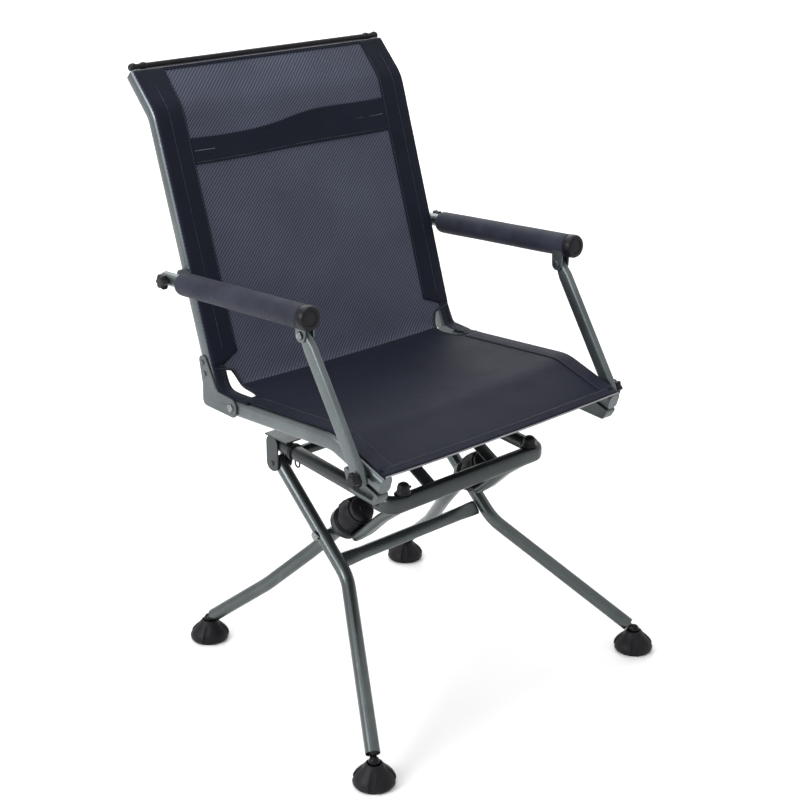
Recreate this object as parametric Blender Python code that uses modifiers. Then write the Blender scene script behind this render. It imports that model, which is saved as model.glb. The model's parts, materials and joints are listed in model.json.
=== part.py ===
"""Blind swivel chair: a folding sling seat that turns on a folding four-legged base.

Metres, +Z up, the chair faces -Y and the sitter's left is +X. The origin is on the ground, below the
middle of the chair's outline. Points written as pairs are (y, z) in a plane of constant x.
"""

import math

import bmesh
import bpy
from mathutils import Matrix, Vector

GAP = 0.0003
WELD_DISTANCE = 0.00001

# Seat and back frame
RAIL_X = 0.2335
RAIL_WIDTH = 0.021
RAIL_DEPTH = 0.026
SEAT_RAIL_LINE = [(0.126, 0.4555), (-0.122, 0.4745), (-0.227, 0.4415)]
BACK_RAIL_LINE = [(0.157, 0.4665), (0.176, 0.5150), (0.2900, 0.8690), (0.3430, 0.9235)]
TOP_TUBE_RADIUS = 0.005
SLING_THICKNESS = 0.004
SLING_HALF_WIDTH = RAIL_X + RAIL_WIDTH / 2 - 0.0015
SEAT_SLING_REAR_Y = 0.088
BACK_SLING_LOW_Z = 0.520
BACK_PIVOT = (0.1108, 0.4575)
HINGE_PLATE_THICKNESS = 0.003
FRONT_CROSS_Y = -0.105
REAR_CROSS_Y = 0.070
CROSS_TUBE_HEIGHT = 0.014
CROSS_TUBE_DEPTH = 0.022
CROSS_TUBE_RISE = 0.001

# Arms
ARM_X = 0.2635
ARM_PIVOT = (0.2260, 0.6355)
STRUT_PIVOT = (-0.2000, 0.4495)
ARM_TUBE_RADIUS = 0.0105
ARM_PAD_RADIUS = 0.0180
ARM_FRONT_Y = -0.110
ARM_REAR_Y = 0.243
ARM_RISE = 0.0235
STRUT_X = 0.2555
STRUT_WIDTH = 0.025
STRUT_THICKNESS = 0.012
KNOB_RADIUS = 0.0125
KNOB_THICKNESS = 0.012
BOLT_RADIUS = 0.0035

# Base
SWIVEL_Y = (FRONT_CROSS_Y + REAR_CROSS_Y) / 2
BASE_REAR_Z = 0.3735
BASE_FRONT_Z = 0.3590
BASE_X = 0.155
BASE_TUBE_RADIUS = 0.0115
BASE_REAR_Y = 0.118
REAR_TUBE_Y = 0.0880
REAR_TUBE_Z = 0.3630
REAR_TUBE_RADIUS = 0.0090
BASE_FRONT_Y = -0.148
FRONT_TUBE_Z = 0.3565
FRONT_TUBE_HEIGHT = 0.028
FRONT_TUBE_DEPTH = 0.019
FRONT_CORNER_RADIUS = 0.030
BAR_X = 0.066
BAR_WIDTH = 0.024
BAR_THICKNESS = 0.004
BEARING_RADIUS = 0.050
SWIVEL_PLATE_Z = 0.390
LOCK_KNOB_X = 0.131

# Legs
LEG_RADIUS = 0.011
LEG_PIVOT = (0.116, 0.3425)
CROSSING = (0.014, 0.254)
REAR_LEG_X = 0.1295
REAR_LEG_AT_CROSSING = (0.0125, 0.2490)
FRONT_LEG_BEND = (-0.047, 0.2015)
FRONT_BALL = (0.2820, -0.2550, 0.0350)
REAR_BALL = (0.2190, 0.2390, 0.0350)
BALL_NECK = 0.0120
FOOT_RADIUS = 0.0320
FOOT_HEIGHT = 0.0335
BALL_RADIUS = 0.0085
CROSS_BAR_POINT = (-0.0198, 0.2162)
CROSS_BAR_TILT = math.radians(46)
KNUCKLE_SLOPE = math.radians(44)
KNUCKLE_START = (0.0035, 0.2572)

# The chair's outline runs further behind the swivel than before it, so its middle lies here.
OUTLINE_MIDDLE_Y = 0.03248

SIDES = (("right", -1), ("left", 1))
axis_places = {}

for old in list(bpy.data.objects):
    bpy.data.objects.remove(old, do_unlink=True)

chair = bpy.data.collections.new("blind_swivel_chair")
bpy.context.scene.collection.children.link(chair)
cutters = bpy.data.collections.new("cutters")
bpy.context.scene.collection.children.link(cutters)


def make_material(name, colour, roughness, metallic):
    material = bpy.data.materials.new(name)
    material.use_nodes = True
    shader = material.node_tree.nodes["Principled BSDF"]
    shader.inputs["Base Color"].default_value = (*colour, 1)
    shader.inputs["Roughness"].default_value = roughness
    shader.inputs["Metallic"].default_value = metallic
    material.diffuse_color = (*colour, 1)
    return material


FRAME_PAINT = make_material("frame_paint", (0.17, 0.20, 0.20), 0.38, 0.7)
PLATE_STEEL = make_material("plate_steel", (0.24, 0.27, 0.28), 0.42, 0.8)
BOLT_STEEL = make_material("bolt_steel", (0.35, 0.36, 0.37), 0.3, 1.0)
MESH_FABRIC = make_material("mesh_fabric", (0.055, 0.06, 0.08), 0.8, 0.0)
SEAT_FABRIC = make_material("seat_fabric", (0.035, 0.04, 0.055), 0.7, 0.0)
FOAM = make_material("arm_foam", (0.08, 0.08, 0.10), 0.75, 0.0)
BLACK_PLASTIC = make_material("black_plastic", (0.012, 0.012, 0.014), 0.45, 0.0)
RUBBER = make_material("foot_rubber", (0.010, 0.010, 0.010), 0.7, 0.0)


# Outlines and paths

def rounded(points, radius, steps=4, closed=False):
    """The polyline with each corner turned into an arc of the radius, or of what its sides leave room for."""
    points = [Vector(point) for point in points]
    count = len(points)
    result = []
    for index, corner in enumerate(points):
        if not closed and index in (0, count - 1):
            result.append(corner)
            continue
        before = points[index - 1] - corner
        after = points[(index + 1) % count] - corner
        angle = before.angle(after)
        if angle > math.pi - 0.02:
            result.append(corner)
            continue
        reach = min(radius / math.tan(angle / 2), 0.49 * before.length, 0.49 * after.length)
        arc_radius = reach * math.tan(angle / 2)
        middle = before.normalized() + after.normalized()
        centre = corner + middle.normalized() * (arc_radius / math.sin(angle / 2))
        start = (corner + before.normalized() * reach - centre).normalized()
        end = (corner + after.normalized() * reach - centre).normalized()
        for step in range(steps + 1):
            result.append(centre + arc_radius * start.slerp(end, step / steps))
    return result


def circle_section(radius, sides=14):
    turns = [2 * math.pi * index / sides for index in range(sides)]
    return [(radius * math.cos(turn), radius * math.sin(turn)) for turn in turns]


def box_section(width, height, radius, steps=2):
    x, y = width / 2, height / 2
    corners = [Vector(corner) for corner in ((x, y, 0), (-x, y, 0), (-x, -y, 0), (x, -y, 0))]
    return [(point.x, point.y) for point in rounded(corners, radius, steps, True)]


def at_side(line, x):
    return [Vector((x, y, z)) for y, z in line]


def offset_line(line, distance):
    """The (y, z) line moved sideways by the distance, upwards or forwards where it is positive."""
    moved = []
    for index, (y, z) in enumerate(line):
        first = Vector(line[max(index - 1, 0)])
        last = Vector(line[min(index + 1, len(line) - 1)])
        along = (last - first).normalized()
        normal = Vector((-along.y, along.x))
        if normal.y - normal.x < 0:
            normal.negate()
        moved.append((y + normal.x * distance, z + normal.y * distance))
    return moved


# Building solids

def solid_from(source, name, material, smooth_angle=35):
    """The evaluated curve or screw as one welded mesh object in the same place."""
    bpy.context.view_layer.update()
    graph = bpy.context.evaluated_depsgraph_get()
    mesh = bpy.data.meshes.new_from_object(source.evaluated_get(graph))
    mesh.name = name
    placing = source.matrix_world.copy()
    bpy.data.objects.remove(source)
    bm = bmesh.new()
    bm.from_mesh(mesh)
    bmesh.ops.remove_doubles(bm, verts=bm.verts, dist=WELD_DISTANCE)
    bmesh.ops.recalc_face_normals(bm, faces=bm.faces)
    bm.to_mesh(mesh)
    bm.free()
    mesh.materials.clear()
    solid = bpy.data.objects.new(name, mesh)
    solid.matrix_world = placing
    chair.objects.link(solid)
    if material:
        mesh.materials.append(material)
    mesh.shade_smooth()
    mesh.set_sharp_from_angle(angle=math.radians(smooth_angle))
    return solid


def poly_curve(name, loops, cyclic):
    """A curve object with one poly spline for each list of points."""
    curve = bpy.data.curves.new(name, "CURVE")
    for loop in loops:
        spline = curve.splines.new("POLY")
        spline.points.add(len(loop) - 1)
        for point, place in zip(spline.points, loop):
            point.co = (*place, 1)
        spline.use_cyclic_u = cyclic
    source = bpy.data.objects.new(name, curve)
    chair.objects.link(source)
    return source


def sweep(name, path, section, material, tilt=0.0, scales=None):
    """A tube with the section along the path; the section's first axis stays level where the tilt is 0."""
    outline = poly_curve(name + "_section", [[(u, v, 0) for u, v in section]], True)
    outline.data.dimensions = "2D"
    source = poly_curve(name + "_path", [path], False)
    source.data.dimensions = "3D"
    source.data.twist_mode = "Z_UP"
    source.data.bevel_mode = "OBJECT"
    source.data.bevel_object = outline
    source.data.use_fill_caps = True
    for index, point in enumerate(source.data.splines[0].points):
        point.tilt = tilt
        point.radius = scales[index] if scales else 1.0
    solid = solid_from(source, name, material)
    bpy.data.objects.remove(outline)
    return solid


def plate(name, outline, x_from, x_to, material, radius=0.004, holes=()):
    """A flat plate whose (y, z) outline has rounded corners and round holes, given as (y, z, radius)."""
    loops = [rounded([(y, z, 0) for y, z in outline], radius, 4, True)]
    for hole_y, hole_z, hole_radius in holes:
        loops.append([(hole_y + u, hole_z + v, 0) for u, v in circle_section(hole_radius)])
    source = poly_curve(name + "_outline", loops, True)
    source.data.dimensions = "2D"
    source.data.fill_mode = "BOTH"
    source.data.extrude = abs(x_to - x_from) / 2
    # The curve's own X, Y and Z become the chair's Y, Z and X.
    turn = Matrix(((0, 0, 1), (1, 0, 0), (0, 1, 0))).to_4x4()
    source.matrix_world = Matrix.Translation(((x_from + x_to) / 2, 0, 0)) @ turn
    return solid_from(source, name, material, smooth_angle=30)


def turned(name, profile, place, axis, material, sides=20):
    """A solid of revolution, its profile from axis to axis as (radius, distance along the axis)."""
    mesh = bpy.data.meshes.new(name + "_profile")
    points = [(radius, 0, height) for radius, height in reversed(profile)]
    mesh.from_pydata(points, [(index, index + 1) for index in range(len(points) - 1)], [])
    source = bpy.data.objects.new(name + "_profile", mesh)
    chair.objects.link(source)
    screw = source.modifiers.new("turn", "SCREW")
    screw.steps = sides
    screw.render_steps = sides
    screw.use_merge_vertices = True
    screw.merge_threshold = WELD_DISTANCE
    direction = Vector(axis).to_track_quat("Z", "Y").to_matrix().to_4x4()
    source.matrix_world = Matrix.Translation(place) @ direction
    return solid_from(source, name, material)


def cylinder_x(name, y, z, x_from, x_to, radius, material=None, sides=14):
    length = abs(x_to - x_from)
    profile = [(0, 0), (radius, 0), (radius, length), (0, length)]
    return turned(name, profile, (min(x_from, x_to), y, z), (1, 0, 0), material, sides)


def box(name, low, high, material):
    mesh = bpy.data.meshes.new(name)
    bm = bmesh.new()
    bmesh.ops.create_cube(bm, size=1)
    bmesh.ops.scale(bm, vec=Vector(high) - Vector(low), verts=bm.verts)
    bm.to_mesh(mesh)
    bm.free()
    if material:
        mesh.materials.append(material)
    block = bpy.data.objects.new(name, mesh)
    block.location = (Vector(high) + Vector(low)) / 2
    chair.objects.link(block)
    return block


def combine(target, tool, operation):
    """Adds a Boolean to the target; the tool becomes a hidden helper."""
    boolean = target.modifiers.new(operation.lower(), "BOOLEAN")
    boolean.operation = operation
    boolean.solver = "EXACT"
    boolean.object = tool
    chair.objects.unlink(tool)
    cutters.objects.link(tool)
    tool.hide_render = True
    tool.display_type = "WIRE"


def drill_x(target, y, z, x_from, x_to, radius):
    combine(target, cylinder_x(target.name + "_drill", y, z, x_from, x_to, radius), "DIFFERENCE")


# Seat

def build_seat_frame():
    section = box_section(RAIL_WIDTH, RAIL_DEPTH, 0.006)
    path = rounded(at_side(SEAT_RAIL_LINE, 0), 0.06, 5)
    for side, sign in SIDES:
        rail = sweep(f"seat_rail_{side}", [point + Vector((sign * RAIL_X, 0, 0)) for point in path], section,
                     FRAME_PAINT)
        drill_x(rail, *BACK_PIVOT, sign * (RAIL_X - 0.02), sign * (RAIL_X + 0.02), BOLT_RADIUS + GAP)
        outline = [(-0.146, 0.4505), (-0.163, 0.4135), (-0.214, 0.4105), (-0.2235, 0.4262)]
        inner = sign * (RAIL_X - RAIL_WIDTH / 2 + 0.001)
        outer = sign * (RAIL_X + RAIL_WIDTH / 2 - 0.0005)
        bracket = plate(f"seat_front_bracket_{side}", outline, inner, outer, PLATE_STEEL, 0.004)
        pocket_outline = [(-0.157, 0.4440), (-0.169, 0.4185), (-0.209, 0.4160), (-0.214, 0.4255)]
        pocket = plate(f"front_bracket_pocket_{side}", pocket_outline, outer + sign * 0.001,
                       outer - sign * 0.006, None, 0.003)
        combine(bracket, pocket, "DIFFERENCE")


def rail_bottom(y):
    (rear_y, rear_z), (front_y, front_z) = SEAT_RAIL_LINE[:2]
    return rear_z + (y - rear_y) * (front_z - rear_z) / (front_y - rear_y) - RAIL_DEPTH / 2


def build_seat_cross_tubes():
    section = box_section(CROSS_TUBE_DEPTH, CROSS_TUBE_HEIGHT, 0.006)
    for place, y in (("front", FRONT_CROSS_Y), ("rear", REAR_CROSS_Y)):
        z = rail_bottom(y) + CROSS_TUBE_RISE
        reach = RAIL_X - RAIL_WIDTH / 2 - GAP
        sweep(f"seat_cross_tube_{place}", [(-reach, y, z), (reach, y, z)], section, FRAME_PAINT)


def build_swivel_top_plate():
    """A pressed strap whose two ends rise to the seat's cross tubes."""
    below_tubes = CROSS_TUBE_RISE - CROSS_TUBE_HEIGHT / 2 - 0.0020
    front_top = rail_bottom(FRONT_CROSS_Y) + below_tubes
    rear_top = rail_bottom(REAR_CROSS_Y) + below_tubes
    flat_z = SWIVEL_PLATE_Z + 0.0135
    line = [(REAR_CROSS_Y + 0.010, rear_top), (REAR_CROSS_Y - 0.012, rear_top),
            (REAR_CROSS_Y - 0.026, flat_z), (FRONT_CROSS_Y + 0.034, flat_z),
            (FRONT_CROSS_Y + 0.012, front_top), (FRONT_CROSS_Y - 0.010, front_top)]
    path = rounded(at_side(line, 0), 0.006, 3)
    strap = sweep("swivel_top_plate", path, box_section(0.124, 0.003, 0.001, 1), PLATE_STEEL)
    hole = turned("top_plate_drill", [(0, -0.01), (0.0070, -0.01), (0.0070, 0.01), (0, 0.01)],
                  (0, SWIVEL_Y, flat_z), (0, 0, 1), None)
    combine(strap, hole, "DIFFERENCE")


# Back

def build_back_frame():
    section = box_section(RAIL_WIDTH, RAIL_DEPTH - 0.001, 0.007)
    path = rounded(at_side(BACK_RAIL_LINE, 0), 0.045, 5)
    outline = [(0.1730, 0.5240), (0.1900, 0.5210), (0.1815, 0.4760), (0.1835, 0.4430), (0.1000, 0.4430),
               (0.0965, 0.4640), (0.1080, 0.4720), (0.1470, 0.4745)]
    lug_rear = ARM_PIVOT[0] + 0.010
    lug_outline = [(lug_rear, 0.6265), (lug_rear, 0.6445), (0.2080, 0.6540), (0.2000, 0.6200)]
    for side, sign in SIDES:
        shifted = [point + Vector((sign * RAIL_X, 0, 0)) for point in path]
        rail = sweep(f"back_rail_{side}", shifted, section, FRAME_PAINT)
        outer = RAIL_X + RAIL_WIDTH / 2
        lug = plate(f"arm_lug_{side}", lug_outline, sign * (outer - 0.004), sign * (outer + 0.0035),
                    None, 0.008)
        combine(rail, lug, "UNION")
        drill_x(rail, *ARM_PIVOT, sign * (outer - 0.01), sign * (outer + 0.01), BOLT_RADIUS + GAP)
        hinge = plate(f"hinge_plate_{side}", outline, sign * (outer + GAP),
                      sign * (outer + GAP + HINGE_PLATE_THICKNESS), PLATE_STEEL, 0.009,
                      holes=[(*BACK_PIVOT, BOLT_RADIUS + GAP)])
        for rivet_y, rivet_z in ((0.1800, 0.5115), (0.1755, 0.4945)):
            head = cylinder_x(f"rivet_{side}_{rivet_z}", rivet_y, rivet_z, sign * (outer + 0.002),
                              sign * (outer + HINGE_PLATE_THICKNESS + 0.0022), 0.0042, None, 12)
            combine(hinge, head, "UNION")
        profile = [(0, 0), (BOLT_RADIUS, 0), (BOLT_RADIUS, 0.0280), (0.0065, 0.0280), (0.0058, 0.0300),
                   (0, 0.0305)]
        turned(f"back_hinge_pin_{side}", profile, (sign * (RAIL_X - RAIL_WIDTH / 2 - 0.0035), *BACK_PIVOT),
               (sign, 0, 0), BOLT_STEEL, 16)


def build_top_tube():
    top = Vector(BACK_RAIL_LINE[-1])
    along = (top - Vector(BACK_RAIL_LINE[-2])).normalized()
    forward = Vector((-along.y, along.x))
    centre = top + along * (TOP_TUBE_RADIUS + 0.0008) + forward * 0.009
    reach = RAIL_X + RAIL_WIDTH / 2 - 0.001
    sweep("back_top_tube", [(-reach, *centre), (reach, *centre)], circle_section(TOP_TUBE_RADIUS, 12),
          BLACK_PLASTIC)


def build_slings():
    """The slings lie over the upper faces of the rails, out to the rails' edges."""
    section = box_section(2 * SLING_HALF_WIDTH, SLING_THICKNESS, 0.0015, 1)
    above_rail = RAIL_DEPTH / 2 + SLING_THICKNESS / 2 + GAP
    seat_line = offset_line(rounded_line(SEAT_RAIL_LINE, 0.06), above_rail)
    sweep("seat_sling", at_side(line_beyond(seat_line, 0, SEAT_SLING_REAR_Y), 0), section, SEAT_FABRIC)
    back_line = offset_line(rounded_line(BACK_RAIL_LINE, 0.045), above_rail)
    top = Vector(back_line[-1])
    back_line[-1] = tuple(top - (top - Vector(back_line[-2])).normalized() * 0.004)
    sweep("back_sling", at_side(line_beyond(back_line, 1, BACK_SLING_LOW_Z), 0), section, MESH_FABRIC)


def line_beyond(line, axis, value):
    """The rest of a line from where one of its coordinates passes the value."""
    for index, (before, after) in enumerate(zip(line, line[1:])):
        if (before[axis] - value) * (after[axis] - value) <= 0:
            share = (value - before[axis]) / (after[axis] - before[axis])
            return [tuple(Vector(before).lerp(Vector(after), share))] + line[index + 1:]
    return line


def rounded_line(line, radius):
    return [(point.y, point.z) for point in rounded(at_side(line, 0), radius, 5)]


# Arms

def arm_point(y):
    """The arm's centre line, which rises towards its front."""
    fraction = (ARM_REAR_Y - y) / (ARM_REAR_Y - ARM_FRONT_Y)
    return y, ARM_PIVOT[1] - 0.0012 + ARM_RISE * fraction


def link_front():
    """The pivot between strut and arm, which makes the four pivots an exact parallelogram."""
    return STRUT_PIVOT[0] + ARM_PIVOT[0] - BACK_PIVOT[0], STRUT_PIVOT[1] + ARM_PIVOT[1] - BACK_PIVOT[1]


def build_arms():
    front_y, front_z = link_front()
    pad_rear_y = 0.1960
    pad_front_y = -0.0945
    for side, sign in SIDES:
        x = sign * ARM_X
        tube_path = [(x, *arm_point(ARM_REAR_Y)), (x, *arm_point(pad_front_y - 0.002))]
        tube = sweep(f"arm_tube_{side}", tube_path, circle_section(ARM_TUBE_RADIUS), FRAME_PAINT)
        drill_x(tube, *ARM_PIVOT, x - 0.02, x + 0.02, BOLT_RADIUS + GAP)
        strut_side = sign * STRUT_X
        cheek_gap = STRUT_THICKNESS / 2 + 0.0006
        cheek_top = arm_point(front_y)[1] - 0.003
        for cheek, direction in (("outer", sign), ("inner", -sign)):
            near = strut_side + direction * cheek_gap
            far = strut_side + direction * (cheek_gap + 0.0022)
            outline = [(front_y - 0.011, cheek_top), (front_y + 0.011, cheek_top),
                       (front_y + 0.0095, front_z - 0.010), (front_y - 0.0095, front_z - 0.010)]
            cheek_plate = plate(f"clevis_{cheek}_{side}", outline, near, far, None, 0.0085,
                                holes=[(front_y, front_z, BOLT_RADIUS + GAP)])
            combine(tube, cheek_plate, "UNION")
        web_reach = cheek_gap + 0.0022
        web = box(f"clevis_web_{side}", (strut_side - web_reach, front_y - 0.0105, cheek_top - 0.0090),
                  (strut_side + web_reach, front_y + 0.0105, cheek_top - 0.0045), None)
        combine(tube, web, "UNION")
        pad_path = [(x, *arm_point(y))
                    for y in (pad_rear_y, pad_rear_y - 0.004, pad_front_y + 0.003, pad_front_y)]
        pad = sweep(f"arm_pad_{side}", pad_path, circle_section(ARM_PAD_RADIUS, 20), FOAM,
                    scales=[0.86, 1, 1, 0.93])
        bore_path = [(x, *arm_point(y)) for y in (pad_rear_y + 0.02, pad_front_y - 0.02)]
        bore = sweep(f"pad_bore_{side}", bore_path, circle_section(ARM_TUBE_RADIUS + GAP), None)
        combine(pad, bore, "DIFFERENCE")
        slot = box(f"pad_slot_{side}", (strut_side - 0.0095, front_y - 0.0125, front_z - 0.01),
                   (strut_side + 0.0095, front_y + 0.0125, cheek_top + 0.004), None)
        combine(pad, slot, "DIFFERENCE")
        cap_radius = ARM_PAD_RADIUS + 0.0003
        cap_profile = [(0, 0), (cap_radius, 0), (cap_radius, 0.009), (0.0165, 0.0125),
                       (0.0110, 0.0135), (0.0100, 0.0115), (0, 0.0120)]
        turned(f"arm_cap_{side}", cap_profile, (x, *arm_point(pad_front_y - 0.0026)),
               (0, -1, ARM_RISE / (ARM_REAR_Y - ARM_FRONT_Y)), BLACK_PLASTIC, 24)
        bolt_profile = [(0, 0), (0.0058, 0.0004), (0.0058, 0.0025), (BOLT_RADIUS, 0.0025),
                        (BOLT_RADIUS, 0.0210), (0.0060, 0.0210), (0.0060, 0.0235), (0, 0.0245)]
        turned(f"clevis_bolt_{side}", bolt_profile, (strut_side - sign * 0.01175, front_y, front_z),
               (sign, 0, 0), BOLT_STEEL, 14)
        build_strut(side, sign, front_y, front_z)
        build_star_knob(f"arm_knob_{side}", sign, ARM_X + ARM_TUBE_RADIUS + 0.0006, ARM_PIVOT,
                        ARM_X + ARM_TUBE_RADIUS + 0.0006 - (RAIL_X + RAIL_WIDTH / 2 - 0.0050))
        build_star_knob(f"strut_knob_{side}", sign, STRUT_X + STRUT_THICKNESS / 2 + 0.0006, STRUT_PIVOT,
                        STRUT_X + STRUT_THICKNESS / 2 + 0.0006 - (RAIL_X + RAIL_WIDTH / 2 + 0.0006))


def build_strut(side, sign, front_y, front_z):
    """A flat-oval tube from the seat rail up to the arm's clevis."""
    low = Vector(STRUT_PIVOT)
    high = Vector((front_y, front_z))
    along = (high - low).normalized()
    start = low - along * 0.010
    end = high + along * 0.009
    x = sign * STRUT_X
    section = box_section(STRUT_THICKNESS, STRUT_WIDTH, STRUT_THICKNESS * 0.49, 4)
    narrow = 0.62
    stations = [(0, narrow), (0.004, 0.80), (0.020, 1), ((end - start).length - 0.030, 1),
                ((end - start).length - 0.014, 0.70), ((end - start).length, 0.55)]
    path = [Vector((x, *(start + along * distance))) for distance, _ in stations]
    strut = sweep(f"arm_strut_{side}", path, section, FRAME_PAINT)
    for vertex in strut.data.vertices:
        distance = (Vector((vertex.co.y, vertex.co.z)) - start).dot(along)
        nearest = min(stations, key=lambda station: abs(station[0] - distance))
        axis_point = Vector((x, *(start + along * distance)))
        across = vertex.co - axis_point
        vertex.co = axis_point + Vector((across.x, across.y * nearest[1], across.z * nearest[1]))
    drill_x(strut, front_y, front_z, x - 0.01, x + 0.01, BOLT_RADIUS + GAP)
    drill_x(strut, *STRUT_PIVOT, x - 0.01, x + 0.01, BOLT_RADIUS + GAP)


def build_star_knob(name, sign, face, pivot, shank):
    """A six-lobed clamp knob on a stud that reaches the frame."""
    lobes = 6
    points = []
    for index in range(lobes * 4):
        turn = 2 * math.pi * index / (lobes * 4)
        radius = KNOB_RADIUS * (0.86 + 0.14 * math.cos(lobes * turn))
        points.append((radius * math.cos(turn), radius * math.sin(turn)))
    path = [(sign * x, 0, 0) for x in (0, 0.002, KNOB_THICKNESS - 0.003, KNOB_THICKNESS)]
    knob = sweep(name, path, points, BLACK_PLASTIC, scales=[0.82, 1, 1, 0.72])
    knob.location = (sign * face, *pivot)
    stud = cylinder_x(name + "_stud", *pivot, sign * (face - shank), sign * (face + 0.003), BOLT_RADIUS)
    combine(knob, stud, "UNION")


# Base

def build_base_frame():
    side_start = BASE_FRONT_Y + FRONT_CORNER_RADIUS
    corners = [(-BASE_X, side_start, FRONT_TUBE_Z), (-BASE_X, BASE_FRONT_Y, FRONT_TUBE_Z),
               (BASE_X, BASE_FRONT_Y, FRONT_TUBE_Z), (BASE_X, side_start, FRONT_TUBE_Z)]
    sweep("base_front_tube", rounded(corners, FRONT_CORNER_RADIUS * 0.95, 6),
          box_section(FRONT_TUBE_DEPTH, FRONT_TUBE_HEIGHT, 0.0085, 3), FRAME_PAINT)
    for side, sign in SIDES:
        x = sign * BASE_X
        side_line = [(x, side_start + 0.0012, BASE_FRONT_Z), (x, BASE_REAR_Y, BASE_REAR_Z)]
        sweep(f"base_side_tube_{side}", side_line, circle_section(BASE_TUBE_RADIUS), FRAME_PAINT)
        build_leg_bracket(side, sign)
        bar_start = BASE_FRONT_Y + FRONT_TUBE_DEPTH / 2 + 0.0016
        line = [(bar_start, FRONT_TUBE_Z + 0.002), (-0.080, 0.3875), (0.048, 0.3875), (0.0800, 0.3760)]
        sweep(f"swivel_bar_{side}", rounded(at_side(line, sign * BAR_X), 0.012, 3),
              box_section(BAR_WIDTH, BAR_THICKNESS, 0.0012, 1), PLATE_STEEL)
        profile = [(0, 0), (0.0115, 0), (0.0115, 0.003), (0.0095, 0.005), (0.0098, 0.010), (0.0080, 0.0148),
                   (0.0045, 0.0172), (0, 0.0178)]
        knob_z = FRONT_TUBE_Z + FRONT_TUBE_HEIGHT / 2 + 0.0004
        turned(f"leg_lock_knob_{side}", profile, (sign * LOCK_KNOB_X, BASE_FRONT_Y, knob_z), (0, 0, 1),
               BLACK_PLASTIC, 18)
    reach = BASE_X - BASE_TUBE_RADIUS - GAP
    sweep("base_rear_tube", [(-reach, REAR_TUBE_Y, REAR_TUBE_Z), (reach, REAR_TUBE_Y, REAR_TUBE_Z)],
          circle_section(REAR_TUBE_RADIUS), FRAME_PAINT)


def build_leg_bracket(side, sign):
    """An inverted U over the side tube's rear end; its cheeks hold the front leg's pivot."""
    x = sign * BASE_X
    reach = BASE_TUBE_RADIUS + 0.0006
    thickness = 0.0025
    web_z = BASE_REAR_Z + BASE_TUBE_RADIUS + 0.0015
    web = box(f"leg_bracket_{side}", (x - reach - thickness, 0.078, web_z),
              (x + reach + thickness, 0.133, web_z + thickness), PLATE_STEEL)
    outline = [(0.102, web_z + 0.002), (0.130, web_z + 0.002), (0.130, LEG_PIVOT[1] - 0.0125),
               (0.102, LEG_PIVOT[1] - 0.0125)]
    for cheek, direction in (("outer", 1), ("inner", -1)):
        near = x + direction * reach
        far = near + direction * thickness
        cheek_plate = plate(f"bracket_{cheek}_{side}", outline, near, far, None, 0.012)
        combine(web, cheek_plate, "UNION")
    rivet = cylinder_x(f"bracket_rivet_{side}", *LEG_PIVOT, x - reach - thickness - 0.002,
                       x + reach + thickness + 0.002, 0.0042, None)
    combine(web, rivet, "UNION")


def build_swivel():
    """Base plate, bearing ring and centre bolt, stacked on the two bars."""
    plate_low = SWIVEL_PLATE_Z
    half = BAR_X + 0.010
    base_plate = box("swivel_base_plate", (-half, SWIVEL_Y - 0.058, plate_low),
                     (half, SWIVEL_Y + 0.058, plate_low + 0.003), PLATE_STEEL)
    drill = turned("base_plate_drill", [(0, -0.01), (0.0065, -0.01), (0.0065, 0.02), (0, 0.02)],
                   (0, SWIVEL_Y, plate_low), (0, 0, 1), None)
    combine(base_plate, drill, "DIFFERENCE")
    ring = turned("swivel_bearing", [(0, 0), (BEARING_RADIUS, 0), (BEARING_RADIUS, 0.0078), (0, 0.0078)],
                  (0, SWIVEL_Y, plate_low + 0.0035), (0, 0, 1), BOLT_STEEL, 32)
    hollow = turned("bearing_hollow", [(0, -0.01), (0.020, -0.01), (0.020, 0.02), (0, 0.02)],
                    (0, SWIVEL_Y, plate_low + 0.0035), (0, 0, 1), None)
    combine(ring, hollow, "DIFFERENCE")
    bolt_profile = [(0, 0), (0.0100, 0), (0.0100, 0.0045), (0.0060, 0.0045), (0.0060, 0.0190), (0, 0.0190)]
    turned("swivel_bolt", bolt_profile, (0, SWIVEL_Y, plate_low - 0.0055), (0, 0, 1), BOLT_STEEL)


# Legs

def build_front_legs():
    top = Vector(LEG_PIVOT)
    along = (top - Vector(CROSSING)).normalized()
    end = top + along * 0.006
    for side, sign in SIDES:
        bend = Vector((sign * BASE_X, *FRONT_LEG_BEND))
        ball = Vector((sign * FRONT_BALL[0], *FRONT_BALL[1:]))
        points = [(sign * BASE_X, *end), (sign * BASE_X, *CROSSING), bend, leg_end(bend, ball)]
        leg = sweep(f"front_leg_{side}", rounded(points, 0.075, 5), circle_section(LEG_RADIUS), FRAME_PAINT)
        finish_leg(leg, sign, ball, bend, BASE_X)
        drill_x(leg, *LEG_PIVOT, sign * (BASE_X - 0.02), sign * (BASE_X + 0.02), 0.0042 + GAP)
    y, z = CROSS_BAR_POINT
    reach = BASE_X - LEG_RADIUS - 0.0006
    stations = (-reach, -reach + 0.014, -reach + 0.040, reach - 0.040, reach - 0.014, reach)
    bar = sweep("leg_cross_bar", [(x, y, z) for x in stations], box_section(0.0215, 0.0130, 0.006, 3),
                FRAME_PAINT, tilt=CROSS_BAR_TILT)
    flatten_ends(bar, reach)


def flatten_ends(bar, reach):
    """The bar's ends are pressed flat where they meet the legs."""
    y, z = CROSS_BAR_POINT
    wide = Vector((0, -math.cos(CROSS_BAR_TILT), -math.sin(CROSS_BAR_TILT)))
    thin = Vector((0, wide.z, -wide.y))
    for vertex in bar.data.vertices:
        if abs(vertex.co.x) < reach - 0.030:
            continue
        out = vertex.co - Vector((vertex.co.x, y, z))
        vertex.co = Vector((vertex.co.x, y, z)) + wide * out.dot(wide) * 1.12 + thin * out.dot(thin) * 0.62


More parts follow.
